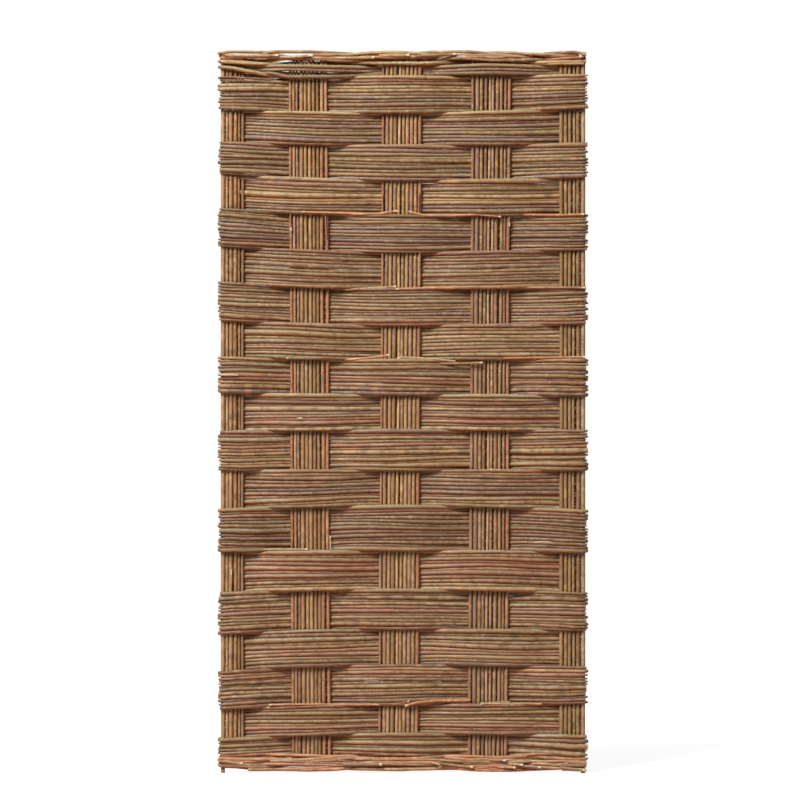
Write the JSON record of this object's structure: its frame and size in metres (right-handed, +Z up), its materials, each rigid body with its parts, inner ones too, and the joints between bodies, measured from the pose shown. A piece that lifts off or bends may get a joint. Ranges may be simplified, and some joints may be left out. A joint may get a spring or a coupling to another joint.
{
  "type": "woven willow fence panel",
  "caption": "Tall willow hurdle in bunch weave: upright bunches of bark-on rods with weft bunches woven across them and twisted rod borders, for fixing between fence posts.",
  "frame": {"origin": "bottom centre of the panel, on the level of the two end stakes' feet", "axes": "+X along the width, +Y from the front to the back through the thickness, +Z up the panel"},
  "size_m": [0.9298, 0.0451, 1.8],
  "materials": {
    "weft_rods": "bark-on willow, olive brown to reddish brown, matt with a slight sheen",
    "upright_rods": "bark-on willow, ochre and tan, matt",
    "border_rods": "bark-on willow, reddish brown, matt with a slight sheen",
    "stakes": "bark-on willow, greyish brown, matt"
  },
  "bodies": {
    "root": {"left_end_stake": "stakes", "right_end_stake": "stakes", "upright_bunch_left_edge": "upright_rods", "upright_bunch_left": "upright_rods", "upright_bunch_middle": "upright_rods", "upright_bunch_right": "upright_rods", "upright_bunch_right_edge": "upright_rods", "weft_bunch_01": "weft_rods", "weft_bunch_02": "weft_rods", "weft_bunch_03": "weft_rods", "weft_bunch_04": "weft_rods", "weft_bunch_05": "weft_rods", "weft_bunch_06": "weft_rods", "weft_bunch_07": "weft_rods", "weft_bunch_08": "weft_rods", "weft_bunch_09": "weft_rods", "weft_bunch_10": "weft_rods", "weft_bunch_11": "weft_rods", "weft_bunch_12": "weft_rods", "weft_bunch_13": "weft_rods", "weft_bunch_14": "weft_rods", "weft_bunch_15": "weft_rods", "weft_bunch_16": "weft_rods", "weft_bunch_17": "weft_rods", "weft_bunch_18": "weft_rods", "weft_bunch_19": "weft_rods", "weft_bunch_20": "weft_rods", "top_border_rod_1a": "border_rods", "top_border_rod_1b": "border_rods", "top_border_rod_2a": "border_rods", "top_border_rod_2b": "border_rods", "bottom_border_rod_1a": "border_rods", "bottom_border_rod_1b": "border_rods", "bottom_border_rod_2a": "border_rods", "bottom_border_rod_2b": "border_rods"}
  },
  "joints": []
}
